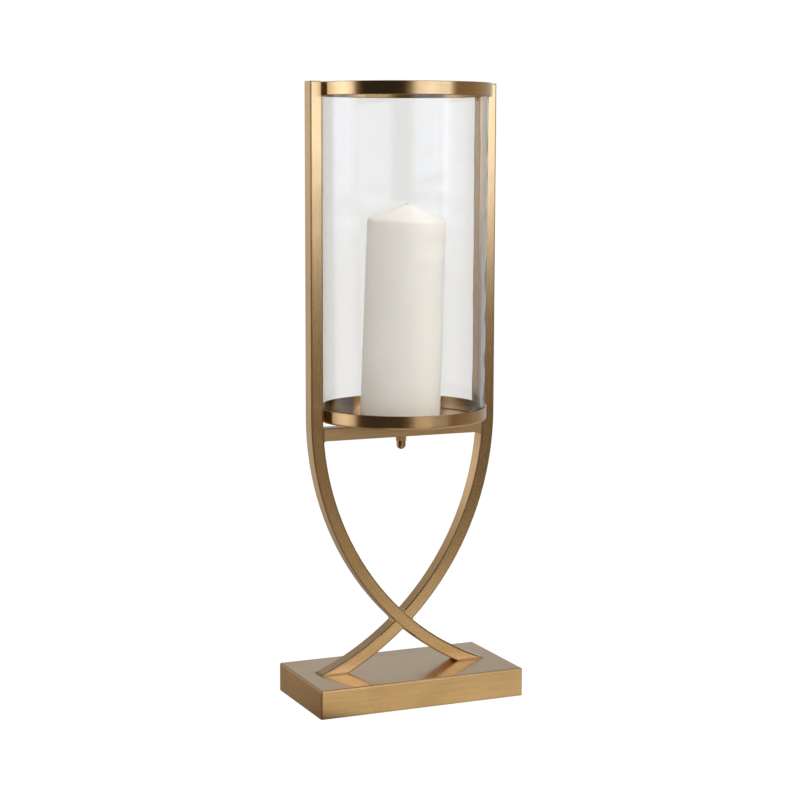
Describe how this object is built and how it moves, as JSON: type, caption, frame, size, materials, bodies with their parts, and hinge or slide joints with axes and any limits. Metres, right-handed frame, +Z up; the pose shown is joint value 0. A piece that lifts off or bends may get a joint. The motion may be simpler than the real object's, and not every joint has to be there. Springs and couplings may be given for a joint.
{
  "type": "hurricane candle lantern",
  "caption": "Tall candle lantern: two brass-finished bars cross and rise from a rectangular base to hold a round tray, a clear glass cylinder and a top hoop around a pillar candle.",
  "frame": {"origin": "middle of the felt pad's underside, on the surface the lantern stands on", "axes": "+Z up, +X from the left upright to the right one, front faces -Y"},
  "size_m": [0.2174, 0.176, 0.61],
  "materials": {
    "antique_brass": "brushed, satin, lightly aged",
    "clear_glass": "clear, slightly rippled, hand made",
    "ivory_wax": "smooth unlit wax",
    "cotton_wick": "braided, waxed",
    "zinc_steel": "zinc plated",
    "cast_iron": "rough, painted black",
    "black_felt": "pressed felt"
  },
  "bodies": {
    "stand": {"left_arm": "antique_brass", "right_arm_upper": "antique_brass", "right_arm_lower": "antique_brass", "crossbar": "antique_brass", "top_ring": "antique_brass", "tray": "antique_brass", "tray_spacer": "antique_brass", "tray_screw": "zinc_steel", "cap_nut": "antique_brass", "base_shell": "antique_brass", "base_weight": "cast_iron", "leg_screws": "zinc_steel", "leg_washers": "zinc_steel", "bottom_plate": "zinc_steel", "plate_screws": "zinc_steel", "felt_pad": "black_felt"},
    "glass": {"glass_cylinder": "clear_glass"},
    "candle": {"candle": "ivory_wax", "wick": "cotton_wick"}
  },
  "joints": [
    {"name": "glass_lift", "type": "slide", "parent": "stand", "child": "glass", "axis": [0, 0, 1], "range_m": [0, 0.34]},
    {"name": "candle_lift", "type": "slide", "parent": "stand", "child": "candle", "axis": [0, 0, 1], "range_m": [0, 0.34]}
  ]
}
